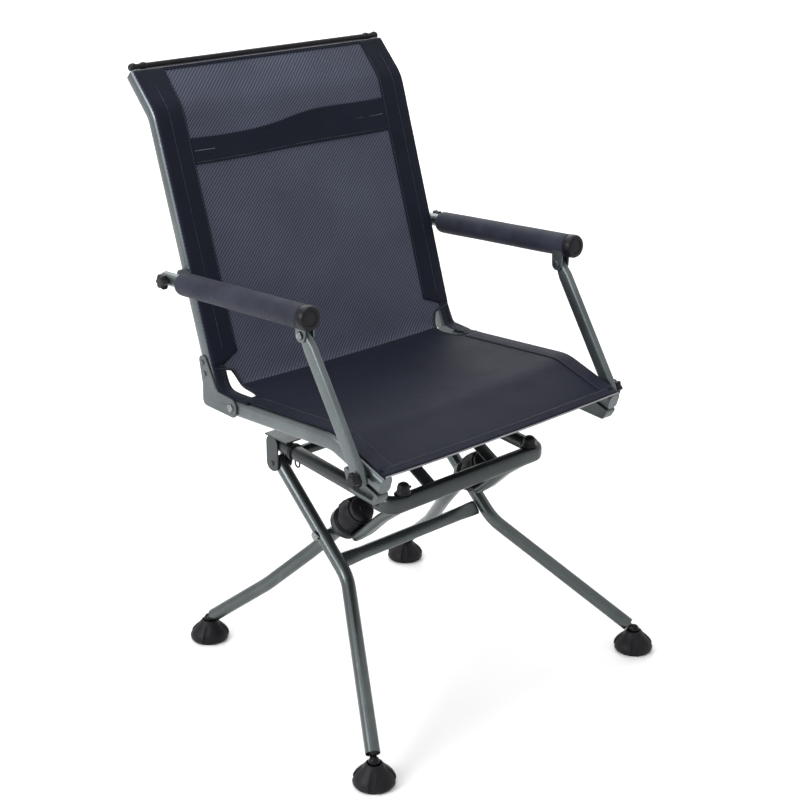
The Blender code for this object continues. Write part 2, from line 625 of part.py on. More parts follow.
def leg_end(above, ball):
    """Where the leg's tube ends, a neck's length above the centre of its ball."""
    return ball + (above - ball).normalized() * BALL_NECK


def finish_leg(leg, sign, ball, above, pivot_x):
    """The leg's ball stud, and the hole for the crossing's pivot."""
    profile = [(0, -BALL_RADIUS)]
    for index in range(1, 6):
        turn = math.pi * index / 7
        profile.append((BALL_RADIUS * math.sin(turn), -BALL_RADIUS * math.cos(turn)))
    profile += [(0.0050, 0.0072), (0.0050, BALL_NECK + 0.003), (0, BALL_NECK + 0.003)]
    stud = turned(leg.name + "_ball", profile, ball, above - ball, None, 16)
    combine(leg, stud, "UNION")
    drill_x(leg, *CROSSING, sign * (pivot_x - 0.02), sign * (pivot_x + 0.02), 0.0040 + GAP)


def build_rear_legs():
    for side, sign in SIDES:
        ball = Vector((sign * REAR_BALL[0], *REAR_BALL[1:]))
        bend = Vector((sign * 0.1780, 0.1280, 0.1290))
        points = [(sign * REAR_LEG_X, *KNUCKLE_START), (sign * REAR_LEG_X, *REAR_LEG_AT_CROSSING),
                  (sign * (REAR_LEG_X + 0.012), 0.0520, 0.2075), bend, leg_end(bend, ball)]
        leg = sweep(f"rear_leg_{side}", rounded(points, 0.16, 3), circle_section(LEG_RADIUS), FRAME_PAINT)
        finish_leg(leg, sign, ball, bend, REAR_LEG_X)
        x = sign * REAR_LEG_X
        up = (0, -math.cos(KNUCKLE_SLOPE), math.sin(KNUCKLE_SLOPE))
        socket_profile = [(0, 0.0008), (0.0130, 0.0008), (0.0135, 0.008), (0.0235, 0.019), (0.0262, 0.023),
                          (0.0262, 0.0335), (0.0245, 0.0345), (0, 0.0345)]
        turned(f"knuckle_socket_{side}", socket_profile, (x, *KNUCKLE_START), up, PLATE_STEEL, 24)
        barrel_profile = [(0, 0.0350), (0.0215, 0.0350), (0.0215, 0.0620), (0.0195, 0.0640), (0.0195, 0.0800),
                          (0.0160, 0.0830), (0, 0.0830)]
        turned(f"knuckle_barrel_{side}", barrel_profile, (x, *KNUCKLE_START), up, BLACK_PLASTIC, 24)
        build_brace(side, sign)
        pin_profile = [(0, 0), (0.0040, 0), (0.0040, 0.0542), (0.0075, 0.0542), (0.0070, 0.0574), (0, 0.0582)]
        turned(f"leg_pivot_{side}", pin_profile, (sign * (REAR_LEG_X - 0.0170), *CROSSING), (sign, 0, 0),
               BOLT_STEEL, 16)


def build_brace(side, sign):
    """The bent flat-oval brace from the knuckle up to the base's front tube."""
    line = [(-0.0415, 0.2610), (-0.0660, 0.2810), (-0.1000, 0.3140), (-0.1340, 0.3405)]
    path = rounded(at_side(line, sign * REAR_LEG_X), 0.06, 3)
    sweep(f"leg_brace_{side}", path, box_section(0.0260, 0.0150, 0.007, 3), FRAME_PAINT,
          scales=[0.85] + [1.0] * (len(path) - 1))


def build_feet():
    """Domed, lobed feet, each on the ball at its leg's end."""
    rings = ((0.96, 0.0), (1.0, 0.003), (0.97, 0.008), (0.82, 0.016), (0.52, 0.025), (0.40, FOOT_HEIGHT))
    lobes = 8
    for end, (ball_x, ball_y, ball_z) in (("front", FRONT_BALL), ("rear", REAR_BALL)):
        for side, sign in SIDES:
            ball = Vector((sign * ball_x, ball_y, ball_z))
            points = []
            for index in range(lobes * 3):
                turn = 2 * math.pi * index / (lobes * 3)
                radius = FOOT_RADIUS * (0.955 + 0.045 * math.cos(lobes * turn))
                points.append((radius * math.cos(turn), radius * math.sin(turn)))
            foot = sweep(f"{end}_foot_{side}", [(0, 0, z) for _, z in rings], points, RUBBER,
                         scales=[radius for radius, _ in rings])
            foot.location = (ball.x, ball.y, 0)
            socket = BALL_RADIUS + 0.0007
            socket_profile = [(0, -socket), (0.0066, -0.0066), (socket, -0.0005), (socket, 0.01), (0, 0.01)]
            hollow = turned(f"{end}_foot_hollow_{side}", socket_profile, ball, (0, 0, 1), None, 16)
            combine(foot, hollow, "DIFFERENCE")


# Joint axes

def hang(axis_name, parent, place, names):
    """An empty on a joint's axis, with the pieces that move with it as its children."""
    empty = bpy.data.objects.new(axis_name, None)
    empty.empty_display_size = 0.03
    chair.objects.link(empty)
    empty.parent = parent
    empty.location = Vector(place) - axis_places.get(parent, Vector())
    axis_places[empty] = Vector(place)
    for name in names:
        piece = bpy.data.objects[name]
        piece.parent = empty
        piece.location -= Vector(place)
    return empty


def both(*names):
    return [f"{name}_{side}" for name in names for side, _ in SIDES]


def hang_all_pieces():
    chair_axes = bpy.data.objects.new("chair_axes", None)
    chair.objects.link(chair_axes)
    chair_axes.location.y = -OUTLINE_MIDDLE_Y
    seat = hang("seat_swivel_axis", chair_axes, (0, SWIVEL_Y, SWIVEL_PLATE_Z),
                both("seat_rail", "seat_front_bracket", "back_hinge_pin")
                + ["seat_cross_tube_front", "seat_cross_tube_rear", "swivel_top_plate", "seat_sling"])
    back = hang("back_fold_axis", seat, (0, *BACK_PIVOT),
                both("back_rail", "hinge_plate") + ["back_top_tube", "back_sling"])
    front_legs = hang("leg_fold_axis", chair_axes, (0, *LEG_PIVOT),
                      both("front_leg", "leg_pivot") + ["leg_cross_bar"])
    rear_legs = hang("leg_crossing_axis", front_legs, (0, *CROSSING),
                     both("rear_leg", "knuckle_socket", "knuckle_barrel", "leg_brace"))
    for side, sign in SIDES:
        arm = hang(f"arm_axis_{side}", back, (sign * ARM_X, *ARM_PIVOT),
                   [f"{piece}_{side}" for piece in ("arm_tube", "arm_pad", "arm_cap", "clevis_bolt")])
        strut = hang(f"strut_axis_{side}", seat, (sign * STRUT_X, *STRUT_PIVOT), [f"arm_strut_{side}"])
        hang(f"arm_knob_axis_{side}", arm, (sign * ARM_X, *ARM_PIVOT), [f"arm_knob_{side}"])
        hang(f"strut_knob_axis_{side}", strut, (sign * STRUT_X, *STRUT_PIVOT), [f"strut_knob_{side}"])
        hang(f"leg_lock_axis_{side}", chair_axes, (sign * LOCK_KNOB_X, BASE_FRONT_Y, FRONT_TUBE_Z),
             [f"leg_lock_knob_{side}"])
        for end, legs, ball in (("front", front_legs, FRONT_BALL), ("rear", rear_legs, REAR_BALL)):
            hang(f"{end}_foot_axis_{side}", legs, (sign * ball[0], *ball[1:]), [f"{end}_foot_{side}"])
    for piece in list(chair.objects) + list(cutters.objects):
        if piece.parent is None and piece is not chair_axes:
            piece.parent = chair_axes


build_seat_frame()
build_seat_cross_tubes()
build_swivel_top_plate()
build_back_frame()
build_top_tube()
build_slings()
build_arms()
build_base_frame()
build_swivel()
build_front_legs()
build_rear_legs()
build_feet()
hang_all_pieces()
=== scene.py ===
"""Looks of the blind swivel chair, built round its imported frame.

Metres, +Z up, the chair faces -Y. A point in the fabric is (x, distance along the sling, lift above it).
"""

import json
import math

import bmesh
import bpy
from mathutils import Matrix, Vector, noise
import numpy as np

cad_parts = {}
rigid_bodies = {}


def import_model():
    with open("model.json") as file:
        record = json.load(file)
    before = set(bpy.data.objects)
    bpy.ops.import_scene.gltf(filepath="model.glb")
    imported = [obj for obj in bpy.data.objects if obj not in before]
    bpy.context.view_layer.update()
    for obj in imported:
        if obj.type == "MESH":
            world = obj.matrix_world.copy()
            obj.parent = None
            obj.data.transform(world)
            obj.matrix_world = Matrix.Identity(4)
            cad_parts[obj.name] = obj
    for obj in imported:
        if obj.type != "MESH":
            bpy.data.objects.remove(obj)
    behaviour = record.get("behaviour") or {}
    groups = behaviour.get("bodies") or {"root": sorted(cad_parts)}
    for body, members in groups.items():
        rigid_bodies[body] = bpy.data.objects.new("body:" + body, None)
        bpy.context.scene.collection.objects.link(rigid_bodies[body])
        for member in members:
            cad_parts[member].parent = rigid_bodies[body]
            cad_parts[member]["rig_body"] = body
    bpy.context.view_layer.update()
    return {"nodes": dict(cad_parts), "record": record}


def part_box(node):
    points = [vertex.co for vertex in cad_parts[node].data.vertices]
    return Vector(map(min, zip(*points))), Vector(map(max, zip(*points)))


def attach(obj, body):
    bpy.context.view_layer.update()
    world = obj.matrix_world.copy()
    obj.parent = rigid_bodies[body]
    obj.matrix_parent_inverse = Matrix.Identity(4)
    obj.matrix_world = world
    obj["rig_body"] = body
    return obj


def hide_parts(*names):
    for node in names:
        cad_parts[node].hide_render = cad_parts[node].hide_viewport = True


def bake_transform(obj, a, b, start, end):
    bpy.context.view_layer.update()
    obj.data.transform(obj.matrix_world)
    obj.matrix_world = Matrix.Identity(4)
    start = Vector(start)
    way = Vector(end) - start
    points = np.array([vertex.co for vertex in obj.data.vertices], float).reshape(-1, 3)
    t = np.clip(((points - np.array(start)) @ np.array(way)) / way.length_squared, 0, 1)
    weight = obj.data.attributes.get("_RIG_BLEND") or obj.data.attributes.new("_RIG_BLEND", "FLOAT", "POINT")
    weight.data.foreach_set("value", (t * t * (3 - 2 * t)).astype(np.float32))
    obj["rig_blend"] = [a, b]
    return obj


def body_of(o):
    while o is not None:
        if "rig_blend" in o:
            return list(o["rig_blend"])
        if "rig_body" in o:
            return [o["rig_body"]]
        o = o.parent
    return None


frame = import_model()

SIDES = (("right", -1), ("left", 1))
NODES = frame["nodes"]

# Fabric
SHEET_THICKNESS = 0.0011
STRIP_THICKNESS = 0.0009
SEAT_SAG = 0.012
BACK_SAG = 0.010
CORNER_SAG = 0.007
SEAT_SAG_REACH = 0.12
BACK_SAG_REACH = 0.14
CORNER_SAG_REACH = 0.09
FOLD_HEIGHT = 0.0010
PUCKER_HEIGHT = 0.0005
RAIL_INNER_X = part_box("seat_rail_left")[0].x
RAIL_EDGE_RADIUS = 0.006
SHEET_OVERHANG = 0.0008
SEAT_EDGE_GAP = 0.0045
BORDER_INNER_X = 0.1925
BORDER_GAP = 0.012
BORDER_SLANT = 0.014
BORDER_SLANT_REACH = 0.05
BAND_LOW_Z = 0.795
BAND_HIGH_Z = 0.840
TOP_HEM_LENGTH = 0.007

# The bend over the hinge, and the opening cut beside it
BEND_STEPS = 16
CORNER_PULL = 4
OPENING_BEFORE = 0.006
OPENING_SHORT = 0.014
OPENING_DEPTH = 0.0225
FINE_ROWS_MARGIN = 0.010

# Seams
STITCH_LENGTH = 0.0032
STITCH_GAP = 0.0016
THREAD_RADIUS = 0.00042
SEAM_LIFT = 0.0021
STRAP_SEAM_LIFT = 0.0014
CORD_LIFT = 0.0004

# Foam sleeves on the arms
PAD_SIDES = 40
PAD_RINGS = 60
PAD_BORE_RADIUS = 0.0109

# Knuckles: each barrel points forwards and up
KNUCKLE_AXIS = Vector((0, -0.7193, 0.6947))
KNUCKLE_ABOVE = Vector((0, 0.6947, 0.7193))
BLOCK_FOOT = 0.0150

# Feet, the profile as (share of the foot's radius, height)
BALL_TOP_Z = 0.0437
FOOT_CHANNELS = 4
CHANNEL_DEPTH = 0.14
FOOT_SEGMENTS = 120
FOOT_PROFILE = (
    (0.0, 0.0012), (0.80, 0.0010), (0.84, 0.0), (0.93, 0.0004), (0.98, 0.0025), (1.0, 0.0060),
    (0.985, 0.0095), (0.91, 0.0140), (0.79, 0.0185), (0.66, 0.0225), (0.54, 0.0265), (0.45, 0.0300),
    (0.40, 0.0325), (0.37, 0.0334), (0.32, 0.0334), (0.295, 0.0322), (0.290, 0.0300), (0.22, 0.0272),
    (0.0, 0.0256),
)

# Small distances
MERGE_DISTANCE = 0.00001
CORD_MERGE_DISTANCE = 0.00002
SAME_PLACE = 0.0001
RING_SPREAD = 0.0016
CAD_EDGE_WIDTH = 0.0006

# Camera, as the chair's middle and the view round it
TARGET = Vector((-0.006, -0.03248, 0.440))
AZIMUTH = math.radians(-41.635)
ELEVATION = math.radians(21.63)
DISTANCE = 2.429
LENS = 70.57


# Materials

class Shader:
    """A Principled material with short ways to add nodes to it."""

    def __init__(self, name, colour, roughness, metallic=0.0, specular=0.5):
        self.material = bpy.data.materials.new(name)
        self.material.use_nodes = True
        self.nodes = self.material.node_tree.nodes
        self.links = self.material.node_tree.links
        self.base = self.nodes["Principled BSDF"]
        self.base.inputs["Base Color"].default_value = (*colour, 1)
        self.base.inputs["Roughness"].default_value = roughness
        self.base.inputs["Metallic"].default_value = metallic
        self.base.inputs["Specular IOR Level"].default_value = specular
        self.coordinates = self.nodes.new("ShaderNodeTexCoord")

    def add(self, kind, **values):
        node = self.nodes.new("ShaderNode" + kind)
        for key, value in values.items():
            if hasattr(node, key):
                setattr(node, key, value)
            else:
                node.inputs[key.replace("_", " ")].default_value = value
        return node

    def noise(self, scale, detail=2.0, source="Object"):
        node = self.add("TexNoise", Scale=scale, Detail=detail)
        self.links.new(self.coordinates.outputs[source], node.inputs["Vector"])
        return node.outputs["Fac"]

    def wave(self, scale, direction, turn=0.0, distortion=0.0):
        mapping = self.add("Mapping")
        mapping.inputs["Rotation"].default_value = (0, 0, turn)
        self.links.new(self.coordinates.outputs["UV"], mapping.inputs["Vector"])
        node = self.add("TexWave", wave_type="BANDS", bands_direction=direction, Scale=scale,
                        Distortion=distortion)
        self.links.new(mapping.outputs["Vector"], node.inputs["Vector"])
        return node.outputs["Fac"]

    def ramp(self, factor, stops):
        node = self.add("ValToRGB")
        ramp = node.color_ramp
        while len(ramp.elements) < len(stops):
            ramp.elements.new(0.5)
        for element, (position, colour) in zip(ramp.elements, stops):
            element.position = position
            element.color = (*colour, 1)
        self.links.new(factor, node.inputs["Fac"])
        return node.outputs["Color"]

    def math(self, operation, first, second):
        node = self.add("Math", operation=operation)
        for socket, value in zip(node.inputs, (first, second)):
            if isinstance(value, (int, float)):
                socket.default_value = value
            else:
                self.links.new(value, socket)
        return node.outputs[0]

    def mix(self, factor, first, second, blend="MIX"):
        node = self.add("Mix", data_type="RGBA", blend_type=blend)
        for socket, value in ((node.inputs[0], factor), (node.inputs[6], first), (node.inputs[7], second)):
            if isinstance(value, (int, float)):
                socket.default_value = value
            elif isinstance(value, tuple):
                socket.default_value = (*value, 1)
            else:
                self.links.new(value, socket)
        return node.outputs[2]

    def colour(self, output):
        self.links.new(output, self.base.inputs["Base Color"])

    def roughness(self, factor, low, high):
        node = self.add("MapRange")
        node.inputs["To Min"].default_value = low
        node.inputs["To Max"].default_value = high
        self.links.new(factor, node.inputs["Value"])
        self.links.new(node.outputs[0], self.base.inputs["Roughness"])

    def bump(self, height, strength, distance):
        node = self.add("Bump", Strength=strength, Distance=distance)
        previous = self.base.inputs["Normal"].links
        if previous:
            self.links.new(previous[0].from_socket, node.inputs["Normal"])
        self.links.new(height, node.inputs["Height"])
        self.links.new(node.outputs["Normal"], self.base.inputs["Normal"])


def painted_metal(name, colour, roughness, metallic, grain, shade_and_black_below=None):
    """Metallic paint: fine flake, slight orange peel, darker in patches and rubbed lighter here and there.

    Below the given height, where the ball studs and the tubes' lower ends are, it is near-black: the studs'
    own dark finish, and painted shade on the tube ends near the floor.
    """
    shader = Shader(name, colour, roughness, metallic)
    dark = tuple(channel * 0.72 for channel in colour)
    light = tuple(min(1, channel * 1.28) for channel in colour)
    patches = shader.ramp(shader.noise(14, 3), ((0.30, dark), (0.72, colour)))
    flake = shader.ramp(shader.noise(1900, 1), ((0.45, (0.86, 0.86, 0.86)), (0.75, (1.22, 1.22, 1.22))))
    rubbed = shader.ramp(shader.noise(95, 5), ((0.60, (0, 0, 0)), (0.74, (1, 1, 1))))
    worn = shader.mix(rubbed, patches, shader.mix(0.45, patches, light))
    painted = shader.mix(1.0, worn, flake, "MULTIPLY")
    # Near-black below the height: partly the ball studs' own dark finish, partly painted shade on the legs'
    # lower ends.
    if shade_and_black_below:
        height = shader.add("SeparateXYZ")
        shader.links.new(shader.coordinates.outputs["Object"], height.inputs[0])
        blackened_and_shaded = shader.math("LESS_THAN", height.outputs["Z"], shade_and_black_below)
        painted = shader.mix(blackened_and_shaded, painted, (0.012, 0.012, 0.014))
    shader.colour(painted)
    shader.roughness(shader.noise(60, 4), roughness - 0.06, roughness + 0.10)
    shader.bump(shader.noise(420, 2), grain, 0.0003)
    return shader.material


def moulded_plastic(name, colour, roughness, grain=0.25):
    shader = Shader(name, colour, roughness, specular=0.17)
    dusty = tuple(channel * 1.7 + 0.004 for channel in colour)
    shader.colour(shader.ramp(shader.noise(45, 5), ((0.35, colour), (0.80, dusty))))
    shader.roughness(shader.noise(130, 3), roughness - 0.07, roughness + 0.09)
    shader.bump(shader.noise(1500, 2), grain, 0.0002)
    return shader.material


def plated_steel(name):
    shader = Shader(name, (0.20, 0.21, 0.22), 0.27, 1.0)
    shader.colour(shader.ramp(shader.noise(260, 4), ((0.3, (0.11, 0.115, 0.12)), (0.7, (0.30, 0.31, 0.32)))))
    shader.roughness(shader.noise(500, 3), 0.18, 0.40)
    shader.bump(shader.noise(900, 2), 0.15, 0.0002)
    return shader.material


def open_mesh_fabric(name, colour):
    """Coated polyester mesh: fine square holes, and slanting ribs from the leno weave."""
    shader = Shader(name, colour, 0.72, specular=0.12)
    dark = tuple(channel * 0.36 for channel in colour)
    light = tuple(channel * 1.55 for channel in colour)
    slanted = shader.wave(72, "X", turn=math.radians(48), distortion=0.35)
    crossed = shader.wave(88, "X", turn=math.radians(-41), distortion=0.5)
    warp = shader.wave(300, "X")
    weft = shader.wave(300, "Y")
    ribs = shader.math("ADD", shader.math("MULTIPLY", slanted, 0.72), shader.math("MULTIPLY", crossed, 0.18))
    drift = shader.noise(9, 3, "UV")
    strength = shader.math("MULTIPLY", ribs, shader.math("ADD", shader.math("MULTIPLY", drift, 0.9), 0.35))
    threads = shader.math("MULTIPLY", warp, weft)
    weave = shader.math("ADD", strength, shader.math("MULTIPLY", threads, 0.35))
    shader.colour(shader.ramp(weave, ((0.10, dark), (0.48, colour), (1.0, light))))
    shader.bump(weave, 0.55, 0.0006)
    shader.roughness(weave, 0.85, 0.62)
    shader.base.inputs["Sheen Weight"].default_value = 0.12
    shader.base.inputs["Sheen Roughness"].default_value = 0.4
    return shader.material


def close_weave_fabric(name, colour, roughness, sheen, thread=420):
    """Tightly woven coated cloth with a soft shine along its stretched parts."""
    shader = Shader(name, colour, roughness, specular=0.10)
    dark = tuple(channel * 0.74 for channel in colour)
    light = tuple(channel * 1.22 for channel in colour)
    threads = shader.math("MULTIPLY", shader.wave(thread, "X"), shader.wave(thread, "Y"))
    clouds = shader.ramp(shader.noise(7, 4, "UV"), ((0.32, dark), (0.70, light)))
    shader.colour(shader.mix(0.35, clouds, shader.ramp(threads, ((0.0, dark), (1.0, light)))))
    shader.bump(threads, 0.35, 0.0004)
    shader.bump(shader.noise(26, 3, "UV"), 0.25, 0.003)
    shader.roughness(shader.noise(18, 3, "UV"), roughness - 0.07, roughness + 0.09)
    shader.base.inputs["Sheen Weight"].default_value = sheen
    shader.base.inputs["Sheen Roughness"].default_value = 0.45
    return shader.material


def foam_sleeve(name, colour):
    shader = Shader(name, colour, 0.62, specular=0.10)
    dark = tuple(channel * 0.68 for channel in colour)
    light = tuple(channel * 1.25 for channel in colour)
    shader.colour(shader.ramp(shader.noise(24, 5), ((0.3, dark), (0.72, light))))
    shader.bump(shader.noise(1100, 3), 0.5, 0.0004)
    shader.bump(shader.noise(60, 3), 0.25, 0.0012)
    shader.roughness(shader.noise(90, 4), 0.50, 0.72)
    shader.base.inputs["Sheen Weight"].default_value = 0.04
    return shader.material


FRAME_PAINT = painted_metal("frame_paint_look", (0.140, 0.160, 0.166), 0.33, 0.82, 0.22)
# The legs', base's and base plates' paints are darker copies of the frame and plate paints: painted shade for
# the parts low under the seat, not another paint.
SHADED_LEG_PAINT = painted_metal("leg_paint_shaded_look", (0.112, 0.127, 0.129), 0.28, 0.85, 0.20, BALL_TOP_Z)
SHADED_BASE_PAINT = painted_metal("base_paint_shaded_look", (0.058, 0.066, 0.067), 0.34, 0.78, 0.22)
SHADED_BASE_PLATE_PAINT = painted_metal("base_plate_shaded_look", (0.055, 0.062, 0.065), 0.42, 0.70, 0.30)
PLATE_PAINT = painted_metal("plate_paint_look", (0.120, 0.138, 0.142), 0.40, 0.75, 0.30)
BOLT_STEEL = plated_steel("bolt_steel_look")
MESH_FABRIC = open_mesh_fabric("mesh_fabric_look", (0.060, 0.067, 0.097))
BORDER_FABRIC = close_weave_fabric("border_fabric_look", (0.0062, 0.0085, 0.0175), 0.60, 0.02, 520)
SEAT_FABRIC = close_weave_fabric("seat_fabric_look", (0.0078, 0.0095, 0.0205), 0.52, 0.02)
FOAM = foam_sleeve("arm_foam_look", (0.0215, 0.0235, 0.0370))
BLACK_PLASTIC = moulded_plastic("black_plastic_look", (0.0060, 0.0060, 0.0080), 0.34)
RUBBER = moulded_plastic("foot_rubber_look", (0.0050, 0.0050, 0.0062), 0.46, 0.45)
THREAD = moulded_plastic("thread_look", (0.045, 0.048, 0.060), 0.6, 0.3)
PIPING = moulded_plastic("piping_look", (0.010, 0.011, 0.015), 0.42, 0.3)
LIGHT_PIPING = moulded_plastic("light_piping_look", (0.19, 0.19, 0.20), 0.5, 0.3)

# The lower bodies swap the frame and plate paints for their darker copies, which paint in shade.
SHADED_LOWER_LOOKS = {
    "base": {FRAME_PAINT: SHADED_BASE_PAINT, PLATE_PAINT: SHADED_BASE_PLATE_PAINT},
    "front_legs": {FRAME_PAINT: SHADED_LEG_PAINT},
    "rear_legs": {FRAME_PAINT: SHADED_LEG_PAINT, PLATE_PAINT: SHADED_BASE_PLATE_PAINT},
}
LOOKS = {
    "frame_paint": FRAME_PAINT, "plate_steel": PLATE_PAINT, "bolt_steel": BOLT_STEEL,
    "mesh_fabric": MESH_FABRIC, "seat_fabric": SEAT_FABRIC, "arm_foam": FOAM,
    "black_plastic": BLACK_PLASTIC, "foot_rubber": RUBBER,
}


# Making pieces

def new_object(name, data):
    obj = bpy.data.objects.new(name, data)
    bpy.context.scene.collection.objects.link(obj)
    return obj


def as_piece(obj, body, material=None):
    """Settles the object's modifiers, gives it the material when one is given, and rides it on the body."""
    bpy.context.view_layer.update()
    graph = bpy.context.evaluated_depsgraph_get()
    mesh = bpy.data.meshes.new_from_object(obj.evaluated_get(graph))
    mesh.transform(obj.matrix_world)
    name = obj.name
    bpy.data.objects.remove(obj)
    piece = new_object(name, mesh)
    if material:
        mesh.materials.clear()
        mesh.materials.append(material)
    if body:
        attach(piece, body)
    return piece


def mesh_object(name, build, smooth_angle=40):
    """A smooth object of what build adds to a bmesh, sharp where faces turn by more than the angle."""
    mesh = bpy.data.meshes.new(name)
    bm = bmesh.new()
    build(bm)
    bmesh.ops.recalc_face_normals(bm, faces=bm.faces)
    bm.to_mesh(mesh)
    bm.free()
    mesh.shade_smooth()
    mesh.set_sharp_from_angle(angle=math.radians(smooth_angle))
    return new_object(name, mesh)


def join_rings(bm, rings):
    """Adds the faces between each closed ring of vertices and the next."""
    for first, second in zip(rings, rings[1:]):
        for index in range(len(first)):
            following = (index + 1) % len(first)
            bm.faces.new((first[index], first[following], second[following], second[index]))


def bevel(obj, width):
    edges = obj.modifiers.new("edges", "BEVEL")
    edges.width = width
    edges.segments = 2
    return edges


def cord_object(name, runs, radius, resolution):
    """A round cord along each run of points."""
    curve = bpy.data.curves.new(name, "CURVE")
    curve.dimensions = "3D"
    curve.bevel_depth = radius
    curve.bevel_resolution = resolution
    curve.use_fill_caps = True
    for run in runs:
        spline = curve.splines.new("POLY")
        spline.points.add(len(run) - 1)
        for point, place in zip(spline.points, run):
            point.co = (*place, 1)
    return new_object(name, curve)


def tube(name, points, radius, body, material):
    piece = as_piece(cord_object(name, [points], radius, 3), body, material)
    weld(piece)
    return piece


def weld(piece):
    """Joins the cord's caps to its sides."""
    bm = bmesh.new()
    bm.from_mesh(piece.data)
    bmesh.ops.remove_doubles(bm, verts=bm.verts, dist=CORD_MERGE_DISTANCE)
    bmesh.ops.recalc_face_normals(bm, faces=bm.faces)
    bm.to_mesh(piece.data)
    bm.free()
    piece.data.shade_smooth()
    piece.data.set_sharp_from_angle(angle=math.radians(42))


def turned(name, profile, place, axis, body, material, sides):
    """A solid of revolution, its profile given as (radius, distance along the axis)."""
    towards = Vector(axis).to_track_quat("Z", "Y").to_matrix().to_4x4()

    def build(bm):
        verts = [bm.verts.new((radius, 0, height)) for radius, height in profile]
        edges = [bm.edges.new(pair) for pair in zip(verts, verts[1:])]
        bmesh.ops.spin(bm, geom=verts + edges, cent=(0, 0, 0), axis=(0, 0, 1), dvec=(0, 0, 0),
                       angle=2 * math.pi, steps=sides, use_merge=True)
        bmesh.ops.remove_doubles(bm, verts=bm.verts, dist=MERGE_DISTANCE)
        bmesh.ops.transform(bm, matrix=Matrix.Translation(place) @ towards, verts=bm.verts)

    return as_piece(mesh_object(name, build), body, material)


def smooth_step(value):
    value = min(1.0, max(0.0, value))
    return value * value * (3 - 2 * value)


# CAD nodes that keep their shape

def finish_cad_nodes():
    """Rounds the edges of the faceted solids and gives each one its look; the base and legs get darker copies
    of the paints, as painted shade.
    """
    slots = {row["node"]: row["material_slot"] for row in frame["record"]["subparts"]}
    for name, node in NODES.items():
        mesh = node.data
        if "custom_normal" in mesh.attributes:
            mesh.attributes.remove(mesh.attributes["custom_normal"])
        mesh.shade_smooth()
        joined = node.modifiers.new("joined", "WELD")
        joined.merge_threshold = MERGE_DISTANCE
        edges = bevel(node, CAD_EDGE_WIDTH)
        edges.limit_method = "ANGLE"
        edges.angle_limit = math.radians(48)
        edges.harden_normals = True
        look = LOOKS[slots[name]]
        # Base and legs take the darker copies of the paint: painted shade.
        look = SHADED_LOWER_LOOKS.get(body_of(node)[0], {}).get(look, look)
        mesh.materials.clear()
        mesh.materials.append(look)


# The sling

def swept_line(node, key):
    """The (y, z) points along the middle of a swept sling, read at its outermost edge."""
    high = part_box(node)[1]
    edge = [v.co.yz for v in NODES[node].data.vertices if v.co.x > high.x - SAME_PLACE]
    rings = []
    for point in sorted(edge, key=lambda place: place[key]):
        if not rings or (point - rings[-1][0]).length > RING_SPREAD:
            rings.append([point])
        rings[-1].append(point)
    return [(ring[0] + ring[-1]) / 2 for ring in rings]


